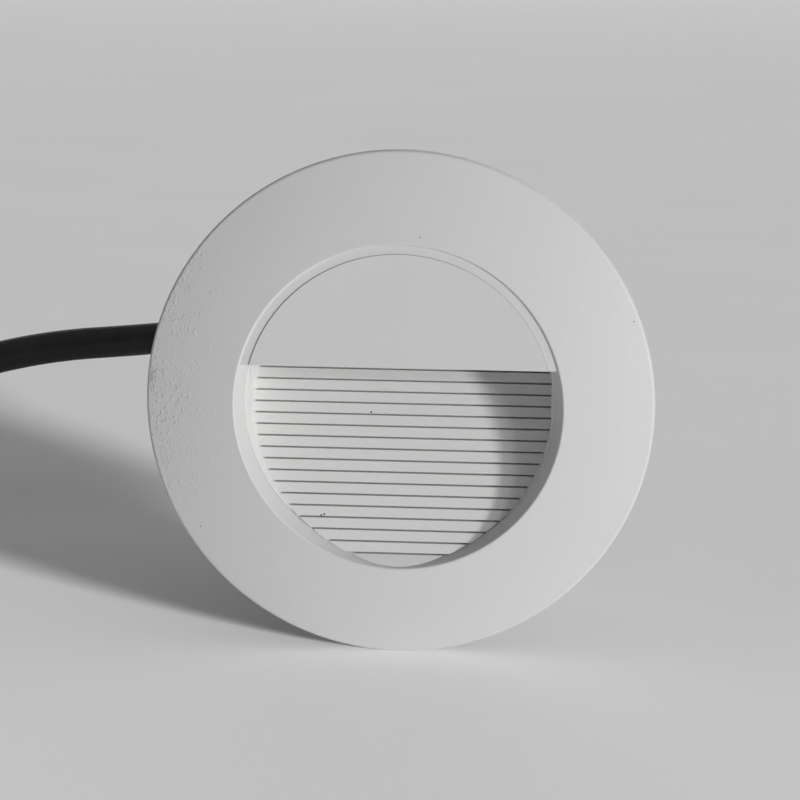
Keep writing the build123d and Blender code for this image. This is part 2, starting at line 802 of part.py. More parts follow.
core_names = ("brown", "blue", "earth")
core_spread = core_radius + 0.1
core_lift = core_spread / math.sqrt(3)
ferrule_collar = core_radius + 0.3
ferrule_length = 8.0
ferrule_collar_length = 3.0
tail_runs = (4.0, 10.0, 9.0)
tail_nesting = 0.75
tail_bends = (0, 34, 66)
tail_fanning = (0, 4, 12)
tail_falls = (0.0, 1.0, 1.4)
tail_heading = math.degrees(math.atan2(coil_end_way.Y, coil_end_way.X))
tail_side = Vector(-coil_end_way.Y, coil_end_way.X, 0)
core_tails = {}
ferrules = []
for number, name in enumerate(core_names):
    lift = 2 * core_lift if number == 1 else -core_lift
    place = sheath_end + tail_side * ((number - 1) * core_spread) + Vector(0, 0, lift)
    corners = [place]
    for run, bend, fan, fall in zip(tail_runs, tail_bends, tail_fanning, tail_falls):
        height = max(place.Z - fall, floor_height + ferrule_collar + 0.02)
        turn = math.radians(tail_heading + bend + fan * number)
        length = run - tail_nesting * number if bend else run
        along = Vector(math.cos(turn), math.sin(turn)) * length
        place = Vector(place.X + along.X, place.Y + along.Y, height)
        corners.append(place)
    tail_path, tail_radii = rounded_route(corners)
    core_tails[name] = tube_along(tail_path, core_radius)
    at_end = Plane(origin=tail_path @ 1, z_dir=tail_path % 1)
    low_end = (Align.CENTER, Align.CENTER, Align.MIN)
    ferrule = Cylinder(ferrule_collar, ferrule_collar_length, align=low_end)
    ferrule += Cylinder(core_radius - 0.4, ferrule_length, align=low_end)
    ferrules.append(at_end * ferrule)

tag_thickness = 0.8
tag_front = rear_inside - earth_boss_height - tag_thickness
inner_cores = {}
for name, side in (("brown", -1), ("blue", 1)):
    start = (side * core_spread, core_lift)
    pole = side * pole_pitch / 2
    core_path, core_radii = rounded_route(
        [
            (start[0], lead_inner_end, start[1]),
            (start[0], core_entry_depth, start[1]),
            (pole, core_entry_depth, 8.0),
            (pole, core_entry_depth, terminal_low + 3.8),
        ]
    )
    inner_cores[name] = tube_along(core_path, core_radius)
core_path, core_radii = rounded_route(
    [
        (0, lead_inner_end, -2 * core_lift),
        (0, lead_inner_end - 3.1, -2 * core_lift),
        (-4.8, lead_inner_end - 2.6, -6.6),
        (earth_place[0] + 4.0, tag_front - core_radius, earth_place[1] + 3.0),
    ]
)
inner_cores["earth"] = tube_along(core_path, core_radius)
earth_tag = along_y(3.0, tag_front, rear_inside - earth_boss_height, *earth_place)
earth_tag += block(
    (earth_place[0] + 1.5, tag_front, earth_place[1] + 0.8),
    (earth_place[0] + 4.6, rear_inside - earth_boss_height, earth_place[1] + 3.6),
)
earth_tag -= along_y(earth_screw_radius + 0.15, tag_front - 1, rear_inside, *earth_place)
earth_screw = pan_screw(earth_screw_radius - 0.03, earth_screw_length)
earth_screw = Pos(earth_place[0], tag_front, earth_place[1]) * Rot(90, 0, 0) * earth_screw

led_leads = {}
led_lead_height = led_board_bottom - 0.75
for name, side in (("positive", 1), ("negative", -1)):
    route = [
        (side * 2.0, chamber_inner_high[1] - 1.6, led_lead_height),
        (side * 2.0, window_rear + led_wire_length / 2, led_lead_height),
        (side * 2.6, window_rear + led_wire_length, led_lead_height - 3.6),
        (side * 2.6, driver_board_face, led_lead_height - 3.6),
    ]
    led_path, _ = rounded_route(route)
    led_leads[name] = tube_along(led_path, led_wire_radius)

# --- Spring clips ------------------------------------------------------------------------
# Modelled for the +X side and mirrored for the other.
bracket_face = flat_face + bracket_sheet
pin_to_face = hinge_reach - bracket_face
ear_reach = 2.2
at_hinge = Pos(hinge_reach, hinge_depth, 0)
bracket = block(
    (flat_face, bracket_front, -bracket_half_width), (bracket_face, bracket_rear, bracket_half_width)
)
ear_outline = Polyline(
    (flat_face, bracket_front + 3.0),
    (bracket_face, bracket_front + 3.0),
    (hinge_reach + ear_reach, hinge_depth - ear_reach),
    (hinge_reach + ear_reach, hinge_depth + ear_reach),
    (bracket_face, bracket_rear - 2.2),
    (flat_face, bracket_rear - 2.2),
    close=True,
)
ear = extrude(make_face(ear_outline), amount=bracket_sheet)
ear = fillet(ear.edges().filter_by(Axis.Z).group_by(Axis.X)[-1], 1.2)
for ear_base in (-bracket_half_width, bracket_half_width - bracket_sheet):
    bracket += Pos(0, 0, ear_base) * ear
bracket -= at_hinge * Cylinder(pin_radius + 0.02, clip_width * 2)
bracket_screws = []
bracket_hole_radius = bracket_screw_radius + 0.15
for height in (-bracket_screw_height, bracket_screw_height):
    bracket -= along_x(bracket_hole_radius, flat_face - 1, bracket_face + 1, bracket_screw_depth, height)
    screw = pan_screw(bracket_screw_radius - 0.02, bracket_screw_length)
    bracket_screws.append(Pos(bracket_face, bracket_screw_depth, height) * Rot(0, 90, 0) * screw)

pin_head = 0.7
pin_end = bracket_half_width + 0.03
clip_pin = at_hinge * Cylinder(pin_radius, 2 * pin_end)
for end in (-1, 1):
    clip_pin += at_hinge * Pos(0, 0, end * (pin_end + pin_head / 2)) * Cylinder(pin_radius + 0.5, pin_head)

# The arm in its own frame: X runs along the arm from the pin and +Y is its outer side.
arm_turn = clip_rest_angle - 90
plate_low = clip_plate_offset - clip_sheet / 2
plate_high = clip_plate_offset + clip_sheet / 2
plate_start = spring_radius + spring_wire / 2 + 0.6
arm_ear_radius = 2.1
half_width = clip_width / 2
arm = block((plate_start, plate_low, -half_width), (clip_length, plate_high, half_width))
arm = fillet(arm.edges().filter_by(Axis.Y).group_by(Axis.X)[-1], 1.5)
low_end = (Align.CENTER, Align.CENTER, Align.MIN)
arm_ear = Cylinder(arm_ear_radius, clip_sheet, align=low_end)
arm_web = Polyline(
    (0, -arm_ear_radius),
    (plate_start + 3.5, plate_low),
    (plate_start + 3.5, plate_high),
    (0, arm_ear_radius),
    close=True,
)
arm_ear += extrude(make_face(arm_web), amount=clip_sheet)
heel_reach = pin_to_face - seat_gap
heel = Polyline((0, 0), (-heel_reach, 0), (-heel_reach, -0.9), (0, -0.9), close=True)
arm_ear += Rot(0, 0, -arm_turn) * extrude(make_face(heel), amount=clip_sheet)
for ear_base in (-half_width, half_width - clip_sheet):
    arm += Pos(0, 0, ear_base) * arm_ear
arm -= Cylinder(pin_radius + pin_clearance, clip_width * 2)

# Torsion spring: its upper leg comes through a slot in the arm and lies on its outer side,
# and its lower leg lies on the bracket.
wire_radius = spring_wire / 2
spring_half = spring_turns * spring_pitch / 2
leg_height = plate_high + wire_radius + 0.3
slot_half = wire_radius + 0.4
arm -= block(
    (plate_start - 1, plate_low - 3, spring_half - slot_half),
    (plate_start + 3.0, plate_high + 3, spring_half + slot_half),
)
sleeve_start = clip_length - sleeve_length
sleeve_clearance = 0.03
sleeve = block(
    (sleeve_start, plate_low - sleeve_wall, -half_width - sleeve_wall),
    (clip_length + sleeve_wall, plate_high + sleeve_wall, half_width + sleeve_wall),
)
sleeve = fillet(sleeve.edges().filter_by(Axis.X), 0.6)
sleeve -= block(
    (sleeve_start - 1, plate_low - sleeve_clearance, -half_width - sleeve_clearance),
    (clip_length + sleeve_clearance, plate_high + sleeve_clearance, half_width + sleeve_clearance),
)
on_arm = at_hinge * Rot(0, 0, arm_turn)
clip_arm = on_arm * arm
clip_sleeve = on_arm * sleeve

fixed_leg = 4.5
moving_leg = 3.5
fixed_angle = 180.0
moving_angle = arm_turn - 45.0 + 360.0 * math.ceil(spring_turns)
coil_sweep = moving_angle - fixed_angle
half_turns = round(coil_sweep / 180)


def spring_place(part_way):
    """A point of the spring's helix about the pin and its direction, from 0 to 1 along it."""
    angle = math.radians(fixed_angle + coil_sweep * part_way)
    rise = 2 * spring_half
    place = Vector(
        spring_radius * math.cos(angle), spring_radius * math.sin(angle), rise * part_way - spring_half
    )
    way = Vector(-math.sin(angle), math.cos(angle), rise / math.radians(coil_sweep) / spring_radius)
    return place, way.normalized()


spring_places = [spring_place(step / half_turns) for step in range(half_turns + 1)]
spring_points = [place for place, way in spring_places]
spring_ways = [way for place, way in spring_places]
leg_bend = 1.4
leg_slant = math.radians(45)
leg_rise = leg_height + spring_radius * math.sin(leg_slant) - leg_bend * (1 - math.cos(leg_slant))
arm_way = Vector(math.cos(math.radians(arm_turn)), math.sin(math.radians(arm_turn)), 0)
arm_side = Vector(-arm_way.Y, arm_way.X, 0)
leg_out = spring_points[-1] + spring_ways[-1] * (leg_rise / math.sin(leg_slant))
leg_landing = leg_out + arm_way * leg_bend * math.sin(leg_slant)
leg_landing += arm_side * leg_bend * (1 - math.cos(leg_slant))
spring_edges = [Line(spring_points[0] - spring_ways[0] * fixed_leg, spring_points[0])]
spring_edges += arcs_through(spring_points, spring_ways)
spring_edges.append(Line(spring_points[-1], leg_out))
spring_edges += biarc(leg_out, spring_ways[-1], leg_landing, arm_way)
spring_edges.append(Line(leg_landing, leg_landing + arm_way * moving_leg))
clip_spring = at_hinge * tube_along(Wire(spring_edges), wire_radius)


def on_side(shape, side):
    """The clip's piece on its own side, or mirrored to the other."""
    return shape if side == "right" else mirror(shape, Plane.YZ)


# --- Sizes worth checking ----------------------------------------------------------------
def least_self_gap(points, ways, radius, turn_length):
    """The smallest gap between two turns of one tube, measured on points."""
    least = math.inf
    for i, one in enumerate(points):
        for j in range(i + 1, len(points)):
            if ways[j] - ways[i] > turn_length / 2:
                least = min(least, (points[j] - one).length - 2 * radius)
    return least


coil_samples = [coil_path @ (n / 240) for n in range(241)]
coil_marks = [coil_path.length * n / 240 for n in range(241)]
coil_gap = least_self_gap(coil_samples, coil_marks, lead_radius, 2 * math.pi * coil_end_radius)
route_volume = math.pi * lead_radius**2 * lead_path.length
print("lead bend radii:", [round(r, 1) for r in lead_radii])
print("lead volume over section times length:", round(supply_lead.volume / route_volume, 4))
print("least gap between the coil's turns:", round(coil_gap, 2))
print("lead length outside:", round(lead_path.length + coil_path.length + sum(tail_runs), 1))

# --- Parts -------------------------------------------------------------------------------
parts = {
    "bezel_ring": trim_ring,
    "wall_gasket": wall_foam,
    "hood_insert": front_insert,
    "stepped_reflector": reflector,
    "front_gasket": front_gasket,
    "housing": housing,
    "neck_o_ring": o_ring,
    "light_window": light_window,
    "window_gasket": window_gasket,
    "led_board": led_board,
    "led_packages": led_chips,
    "led_board_screws": led_screws,
    "led_wires": list(led_leads.values()),
    "driver_board": driver_board,
    "driver_screws": driver_screws,
    "transformer_core": transformer_core,
    "transformer_winding": transformer_winding,
    "driver_capacitors": [input_capacitor, output_capacitor],
    "driver_choke": choke,
    "driver_small_parts": small_parts,
    "terminal_block": terminal_block,
    "terminal_screws": terminal_screws,
    "earth_tag": earth_tag,
    "earth_screw": earth_screw,
    "gland_body": gland_body,
    "gland_washer": gland_washer,
    "gland_locknut": locknut,
    "gland_seal": gland_seal,
    "gland_cap": gland_cap,
    "lead_in_gland": lead_in_gland,
    "supply_lead": supply_lead,
    "lead_coil": lead_coil,
    "core_ferrules": ferrules,
    "bracket_screws": bracket_screws + [mirror(screw, Plane.YZ) for screw in bracket_screws],
}
for name in core_names:
    parts[f"inner_core_{name}"] = inner_cores[name]
    parts[f"core_{name}"] = core_tails[name]
for side in ("right", "left"):
    parts[f"clip_bracket_{side}"] = on_side(bracket, side)
    parts[f"clip_pin_{side}"] = on_side(clip_pin, side)
    parts[f"clip_arm_{side}"] = on_side(clip_arm, side)
    parts[f"clip_sleeve_{side}"] = on_side(clip_sleeve, side)
    parts[f"clip_spring_{side}"] = on_side(clip_spring, side)

os.makedirs("parts", exist_ok=True)
for name, shape in parts.items():
    if isinstance(shape, list):
        shape = Compound(children=shape)
    export_step(shape, f"parts/{name}.step")
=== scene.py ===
import math

import bmesh
import bpy
from mathutils import Matrix, Vector


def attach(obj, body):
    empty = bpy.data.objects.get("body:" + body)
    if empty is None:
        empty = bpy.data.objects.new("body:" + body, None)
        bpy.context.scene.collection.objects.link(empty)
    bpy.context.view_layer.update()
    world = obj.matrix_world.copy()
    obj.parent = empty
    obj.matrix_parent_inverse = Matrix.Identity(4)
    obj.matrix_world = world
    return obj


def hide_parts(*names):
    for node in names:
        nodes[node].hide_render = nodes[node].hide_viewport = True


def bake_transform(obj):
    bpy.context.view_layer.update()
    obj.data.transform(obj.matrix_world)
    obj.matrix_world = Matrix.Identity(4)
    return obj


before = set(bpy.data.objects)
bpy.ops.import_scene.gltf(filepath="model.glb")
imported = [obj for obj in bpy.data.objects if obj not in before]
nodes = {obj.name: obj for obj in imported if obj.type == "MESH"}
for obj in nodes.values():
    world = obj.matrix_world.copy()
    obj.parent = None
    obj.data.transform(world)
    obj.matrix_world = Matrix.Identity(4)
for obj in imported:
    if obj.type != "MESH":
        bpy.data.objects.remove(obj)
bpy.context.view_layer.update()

# --- Housing --------------------------------------------------------------------------------
# A die-cast aluminium can, tumbled but not painted, with a matt and faintly mottled skin.
# It screws into the trim ring's spigot, and flats on its sides carry the spring clips.

mm = 0.001


class Flow:
    """A shader socket that takes part in sums and feeds further nodes."""

    def __init__(self, tree, socket):
        self.tree = tree
        self.socket = socket

    def node(self, kind, settings=None, **inputs):
        """Adds a node of a kind, fed by name, and gives the flow from its first output."""
        made = self.tree.nodes.new("ShaderNode" + kind)
        for name, value in (settings or {}).items():
            setattr(made, name, value)
        for name, value in inputs.items():
            feed(self.tree, value, made.inputs[name.replace("_", " ")])
        return Flow(self.tree, made.outputs[0])

    def maths(self, operation, *values):
        made = self.tree.nodes.new("ShaderNodeMath")
        made.operation = operation
        for value, socket in zip(values, made.inputs):
            feed(self.tree, value, socket)
        return Flow(self.tree, made.outputs[0])

    def __add__(self, other):
        return self.maths("ADD", self, other)

    def __radd__(self, other):
        return self.maths("ADD", other, self)

    def __sub__(self, other):
        return self.maths("SUBTRACT", self, other)

    def __rsub__(self, other):
        return self.maths("SUBTRACT", other, self)

    def __mul__(self, other):
        return self.maths("MULTIPLY", self, other)

    def __rmul__(self, other):
        return self.maths("MULTIPLY", other, self)

    def __truediv__(self, other):
        return self.maths("DIVIDE", self, other)

    def __rtruediv__(self, other):
        return self.maths("DIVIDE", other, self)

    def __pow__(self, other):
        return self.maths("POWER", self, other)

    def __rpow__(self, other):
        return self.maths("POWER", other, self)

    def __gt__(self, other):
        return self.maths("GREATER_THAN", self, other)

    def __lt__(self, other):
        return self.maths("LESS_THAN", self, other)


def feed(tree, value, socket):
    """Links a flow to a socket, or sets the socket to a plain value."""
    if isinstance(value, Flow):
        tree.links.new(value.socket, socket)
    else:
        socket.default_value = value


def new_finish(name, **constants):
    """A material with its shader's constants set; gives it, its shader node and its place flow."""
    finish = bpy.data.materials.new(name)
    finish.use_nodes = True
    tree = finish.node_tree
    shader = tree.nodes["Principled BSDF"]
    for socket, value in constants.items():
        shader.inputs[socket.replace("_", " ")].default_value = value
    place = Flow(tree, tree.nodes.new("ShaderNodeTexCoord").outputs["Object"])
    return finish, shader, place


def noise(place, size, detail=2.0, roughness=0.5, stretch=None):
    """Cloudy values from 0 to 1 with blotches of a size in metres, drawn out along a stretch."""
    if stretch:
        place = place.node("VectorMath", settings={"operation": "MULTIPLY"}, Vector=place)
        feed(place.tree, stretch, place.socket.node.inputs[1])
    return place.node("TexNoise", Vector=place, Scale=1 / size, Detail=detail, Roughness=roughness)


def two_colours(factor, one, other):
    """A colour between two, by a factor from 0 to 1."""
    mix = factor.tree.nodes.new("ShaderNodeMix")
    mix.data_type = "RGBA"
    for value, socket in ((factor, mix.inputs[0]), (one, mix.inputs[6]), (other, mix.inputs[7])):
        feed(factor.tree, value, socket)
    return Flow(factor.tree, mix.outputs[2])


def ramp(value, low, high, to_low=0.0, to_high=1.0):
    """A value stretched from one range to another and held inside it."""
    return value.node("MapRange", Value=value, From_Min=low, From_Max=high, To_Min=to_low, To_Max=to_high)


def tint(shader, colour):
    """Gives the surface a colour that varies over it."""
    feed(colour.tree, colour, shader.inputs["Base Color"])


def roughen(shader, pattern, low, high):
    """Lets the roughness follow a cloudy pattern from a low value to a high one."""
    feed(pattern.tree, ramp(pattern, 0.3, 0.7, low, high), shader.inputs["Roughness"])


def emboss(shader, height, depth):
    """Raises the surface by a height from 0 to 1, of a depth in metres."""
    bump = height.node("Bump", Height=height, Distance=depth, Strength=1.0)
    feed(height.tree, bump, shader.inputs["Normal"])


def paint(names, finish):
    """Gives CAD nodes a finish in every material slot."""
    for name in names.split():
        piece = nodes[name]
        for slot in piece.material_slots:
            slot.material = finish


def cast_metal():
    finish, shader, place = new_finish("cast_aluminium", Metallic=0.85)
    skin = noise(place, 1.4 * mm, detail=5, roughness=0.65)
    clouds = noise(place, 11 * mm, detail=2)
    tone = ramp(skin + clouds, 0.6, 1.4)
    tint(shader, two_colours(tone, (0.4, 0.4, 0.395, 1), (0.55, 0.55, 0.545, 1)))
    roughen(shader, clouds, 0.42, 0.6)
    emboss(shader, noise(place, 0.35 * mm, detail=3), 0.025 * mm)
    return finish


paint("housing", cast_metal())

# --- Driver ---------------------------------------------------------------------------------
# A round circuit board with a transformer, two capacitors, a choke and small packages.
# Nothing of it shows while the housing is closed.


def shades(pattern, colour, darkest):
    """A colour that a pattern takes down to a share of itself."""
    darker = tuple(part * darkest for part in colour)
    return two_colours(pattern, darker + (1,), colour + (1,))


def plain_moulding(name, colour, roughness, grain=0.4 * mm):
    """Moulded plastic: a fine spark-eroded grain and a slight unevenness of sheen."""
    finish, shader, place = new_finish(name)
    tint(shader, shades(noise(place, 9 * mm), colour, 0.93))
    roughen(shader, noise(place, 5 * mm), roughness - 0.05, roughness + 0.05)
    emboss(shader, noise(place, grain, detail=2), 0.008 * mm)
    return finish


def board_finish():
    finish, shader, place = new_finish("green_board", Coat_Weight=0.4, Roughness=0.4)
    weave = noise(place, 0.5 * mm, stretch=(1, 4, 1)) + noise(place, 0.5 * mm, stretch=(4, 1, 1))
    tracks = ramp(noise(place, 3 * mm, detail=0), 0.5, 0.53)
    under = two_colours(ramp(weave, 0.7, 1.3), (0.02, 0.16, 0.07, 1), (0.03, 0.22, 0.1, 1))
    tint(shader, two_colours(tracks * 0.5, under, (0.06, 0.34, 0.16, 1)))
    emboss(shader, tracks, 0.03 * mm)
    return finish


paint("driver_board", board_finish())
paint("transformer_core driver_choke", plain_moulding("ferrite", (0.05, 0.05, 0.055), 0.5))
paint("transformer_winding", plain_moulding("winding_tape", (0.75, 0.55, 0.1), 0.3))
paint("driver_capacitors", plain_moulding("capacitor_sleeve", (0.02, 0.02, 0.035), 0.3))
paint("driver_small_parts", plain_moulding("black_package", (0.02, 0.02, 0.022), 0.45))
paint("terminal_block", plain_moulding("terminal_body", (0.05, 0.3, 0.12), 0.4))


def bright_steel(name, colour, roughness, brushed):
    """Plated or rolled steel, with fine lines along the way it was brushed or rolled."""
    finish, shader, place = new_finish(name, Metallic=1.0)
    lines = noise(place, 1.2 * mm, detail=4, stretch=brushed)
    tint(shader, shades(lines, colour, 0.8))
    roughen(shader, lines, roughness - 0.07, roughness + 0.07)
    emboss(shader, lines, 0.006 * mm)
    return finish


zinc = bright_steel("zinc_plated_steel", (0.62, 0.63, 0.62), 0.36, (1, 1, 1))
paint("driver_screws terminal_screws earth_screw led_board_screws bracket_screws", zinc)
paint("earth_tag", bright_steel("tinned_brass", (0.62, 0.56, 0.42), 0.35, (1, 1, 1)))

# --- Light board ----------------------------------------------------------------------------
# An aluminium board with white solder resist and a row of warm white packages, under the
# ledge above the recess. It shines down through the frosted window.


def phosphor_finish():
    finish, shader, place = new_finish("led_phosphor", Roughness=0.35)
    grain = noise(place, 0.25 * mm, detail=3)
    tint(shader, two_colours(grain, (0.75, 0.5, 0.08, 1), (0.85, 0.62, 0.16, 1)))
    emboss(shader, grain, 0.01 * mm)
    return finish


def frosted_finish():
    finish, shader, place = new_finish("frosted_window", Transmission_Weight=0.6, IOR=1.58)
    frost = noise(place, 0.2 * mm, detail=3)
    roughen(shader, frost, 0.45, 0.6)
    tint(shader, two_colours(frost, (0.82, 0.84, 0.85, 1), (0.88, 0.9, 0.9, 1)))
    emboss(shader, frost, 0.015 * mm)
    return finish


paint("led_board", plain_moulding("white_board", (0.8, 0.8, 0.78), 0.3))
paint("led_packages", phosphor_finish())
paint("led_wires", plain_moulding("red_wire", (0.5, 0.03, 0.02), 0.4))
paint("light_window", frosted_finish())
paint("window_gasket front_gasket", plain_moulding("white_silicone", (0.7, 0.7, 0.68), 0.5))

# --- Stepped reflector and hood insert ------------------------------------------------------
# White matt mouldings. The sloping boards of the reflector are smooth, with a narrow groove
# under each nose, and a few black specks of dust have settled on them.


def axes(place):
    """The X, Y and Z of a place as flows."""
    outputs = place.node("SeparateXYZ", Vector=place).socket.node.outputs
    return [Flow(place.tree, outputs[axis]) for axis in "XYZ"]


def spots(place, centres, radius):
    """1 within a radius of some centres, which are given across and up on the light's face."""
    across, _, up = axes(place)
    inside = 0.0
    for x, z in centres:
        aside, above = across - x * mm, up - z * mm
        inside = inside + ((aside * aside + above * above) ** 0.5 < radius)
    return inside


def white_moulding(name, colour, dust):
    """White plastic with black specks of dust of a hair's width at some places on its face."""
    finish, shader, place = new_finish(name, Specular_IOR_Level=0.35)
    white = shades(noise(place, 14 * mm), colour, 0.975)
    if dust:
        white = two_colours(spots(place, dust, 0.15 * mm), white, (0.02, 0.02, 0.02, 1))
    tint(shader, white)
    roughen(shader, noise(place, 6 * mm), 0.5, 0.58)
    emboss(shader, noise(place, 0.5 * mm, detail=2), 0.004 * mm)
    return finish


reflector_dust = ((-5.3, -2.7), (-13.1, -19.4), (-12.6, -19.2))
paint("stepped_reflector", white_moulding("reflector_white", (0.8, 0.796, 0.788), reflector_dust))
paint("hood_insert", white_moulding("insert_white", (0.66, 0.66, 0.655), ()))

# --- Trim ring ------------------------------------------------------------------------------
# Cast aluminium with a white powder coat. The coat has a soft orange peel, with coarse pimples
# and pits at the left, and a few specks that came with the powder.


def specks(place, size, share):
    """1 inside small round specks, which a share of the cells of a size have, and 0 elsewhere."""
    speck_in_cell = 0.1
    cells = place.node("TexVoronoi", Vector=place, Scale=1 / size)
    cells_node = cells.socket.node
    chance = place.node("SeparateColor", Color=Flow(place.tree, cells_node.outputs["Color"]))
    near = Flow(place.tree, cells_node.outputs["Distance"]) < speck_in_cell
    return near * (chance < share)


def powder_coat():
    finish, shader, place = new_finish("white_powder_coat", Specular_IOR_Level=0.3)
    shade = noise(place, 18 * mm)
    clean = two_colours(shade, (0.655, 0.655, 0.65, 1), (0.675, 0.675, 0.67, 1))
    dark_dots = ((3.4, 28.6), (38.6, 15.0), (-33.4, -21.5))
    pale_dots = ((-15.2, -38.1),)
    dirt = spots(place, dark_dots, 0.11 * mm) + specks(place, 3.1 * mm, 0.012) * 0.3
    bare = spots(place, pale_dots, 0.16 * mm)
    coat = two_colours(dirt, clean, (0.12, 0.12, 0.12, 1))
    tint(shader, two_colours(bare, coat, (0.85, 0.85, 0.85, 1)))
    roughen(shader, noise(place, 7 * mm), 0.42, 0.5)
    across, _, up = axes(place)
    ragged_edge = noise(place, 7 * mm) * (16 * mm)
    rough_side = ramp(across - up * 0.1 + ragged_edge, -22 * mm, -32 * mm)
    peel = noise(place, 1.1 * mm, detail=2, roughness=0.4)
    pimples = ramp(noise(place, 0.6 * mm, detail=1), 0.6, 0.74) * rough_side
    pits = ramp(noise(place, 0.45 * mm, detail=1), 0.36, 0.24) * rough_side
    emboss(shader, peel * 0.35 + pimples - pits, 0.085 * mm)
    return finish


paint("bezel_ring", powder_coat())

# --- Seals ----------------------------------------------------------------------------------
# Closed-cell foam in the ring's back keeps water from running down the wall behind it, and
# plain rubber rings seal the neck and the gland.


def foam_finish():
    finish, shader, place = new_finish("black_foam", Roughness=0.85)
    cells = place.node("TexVoronoi", Vector=place, Scale=1 / (0.35 * mm))
    tint(shader, two_colours(ramp(cells, 0.1, 0.5), (0.008, 0.008, 0.008, 1), (0.03, 0.03, 0.03, 1)))
    emboss(shader, cells, 0.06 * mm)
    return finish


def rubber_finish(name, colour, sheen):
    """Extruded or moulded rubber: matt, faintly scuffed, with a dusty bloom."""
    finish, shader, place = new_finish(name)
    bloom = noise(place, 6 * mm, detail=4)
    scuff = noise(place, 0.6 * mm, detail=3)
    dusty = tuple(part * 1.8 + 0.004 for part in colour) + (1,)
    tint(shader, two_colours(ramp(bloom, 0.35, 0.8), colour + (1,), dusty))
    roughen(shader, scuff, sheen - 0.08, sheen + 0.08)
    emboss(shader, scuff, 0.012 * mm)
    return finish


black_rubber = rubber_finish("black_rubber", (0.012, 0.012, 0.012), 0.5)
paint("wall_gasket", foam_finish())
paint("neck_o_ring gland_seal gland_washer lead_in_gland", black_rubber)

# --- Cable gland ----------------------------------------------------------------------------
# Black glass-filled polyamide: a hexagon body through the rear wall, a lock nut inside and
# a domed cap that presses the seal round the lead.

black_polyamide = plain_moulding("black_polyamide", (0.025, 0.025, 0.026), 0.42, 0.3 * mm)
paint("gland_body gland_cap gland_locknut", black_polyamide)

# --- Supply lead ----------------------------------------------------------------------------
# A round three-core rubber lead, 6.6 mm thick. It leaves the gland, swings round to the
# left and down to the surface, and the spare length lies there in one loose turn.

lead_diameter = 6.6 * mm
lead_radius = lead_diameter / 2
floor_height = -42.5 * mm
lead_rest_height = floor_height + lead_radius
gland_mouth = 68.0 * mm
coil_centre_across = -115 * mm
coil_centre_depth = 0.0
coil_start_radius = 40 * mm
coil_start_angle = math.radians(172)
coil_turns = 1.1
coil_gap = 1.5 * mm
coil_pitch = lead_diameter + coil_gap
straight_into_coil = 18 * mm


def coil_point(turn, outward=0.0):
    """A point of the flat coil's centreline after so many turns."""
    angle = coil_start_angle + turn * math.tau
    radius = coil_start_radius - turn * coil_pitch + outward
    across = coil_centre_across + radius * math.cos(angle)
    depth = coil_centre_depth + radius * math.sin(angle)
    return Vector((across, depth, lead_rest_height))


def coil_way(turn):
    """The coil's direction after so many turns."""
    step = coil_point(turn + 0.001) - coil_point(turn - 0.001)
    return step.normalized()


coil_start = coil_point(0)
coil_end = coil_point(coil_turns)
lead_meets_coil = coil_start - coil_way(0) * lead_diameter
lead_route = [
    Vector((0, gland_mouth, 0)),
    Vector((0, 85 * mm, 0)),
    Vector((-7.5 * mm, 101 * mm, -2.2 * mm)),
    Vector((-21.2 * mm, 111.7 * mm, -4.6 * mm)),
    Vector((-41 * mm, 115.2 * mm, -7.6 * mm)),
    Vector((-62 * mm, 114.6 * mm, -10 * mm)),
    Vector((-85 * mm, 110.2 * mm, -11.3 * mm)),
    Vector((-107 * mm, 101 * mm, -16.5 * mm)),
    Vector((-126 * mm, 87 * mm, -25 * mm)),
    Vector((-139.5 * mm, 69 * mm, -33.5 * mm)),
    Vector((-147 * mm, 49 * mm, -38.6 * mm)),
    lead_meets_coil - coil_way(0) * straight_into_coil,
    lead_meets_coil,
]
coil_steps = 16
corner_offset = coil_start_radius * 0.019  # the spline runs inside its corners
for step in range(int(coil_steps * coil_turns) + 1):
    middle_turn = min((step + 0.5) / coil_steps, coil_turns)
    lead_route.append(coil_point(middle_turn, corner_offset))
sheath_end = coil_end + coil_way(coil_turns) * lead_diameter
lead_route.append(sheath_end)


def round_wire(name, points, radius, finish):
    """A round cord or wire along a smooth spline, which rounds off the corners given."""
    line = bpy.data.curves.new(name, "CURVE")
    line.dimensions = "3D"
    line.resolution_u = 12
    line.bevel_depth = radius
    line.bevel_resolution = 8
    line.use_fill_caps = True
    spline = line.splines.new("NURBS")
    spline.points.add(len(points) - 1)
    for control, point in zip(spline.points, points):
        control.co = (*point, 1)
    spline.order_u = 3
    spline.use_endpoint_u = True
    piece = bpy.data.objects.new(name, line)
    bpy.context.scene.collection.objects.link(piece)
    line.materials.append(finish)
    return piece


lead = round_wire("lead", lead_route, lead_radius, black_rubber)
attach(lead, "light")
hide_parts("supply_lead", "lead_coil")

# --- Cores and ferrules ---------------------------------------------------------------------
# The sheath is stripped back from the brown, blue and green-yellow cores, and each core
# ends in a crimp ferrule, ready for a terminal.


def striped_core():
    """Green insulation with a yellow half all along it."""
    finish, shader, place = new_finish("core_earth", Roughness=0.4)
    facing = Flow(place.tree, place.tree.nodes.new("ShaderNodeTexCoord").outputs["Normal"])
    sideways, _, upwards = axes(facing)
    stripe = ramp(sideways * 0.4 + upwards + noise(place, 4 * mm) * 0.3, 0.1, 0.16)
    tint(shader, two_colours(stripe, (0.07, 0.3, 0.04, 1), (0.72, 0.6, 0.03, 1)))
    emboss(shader, noise(place, 0.5 * mm), 0.006 * mm)
    return finish


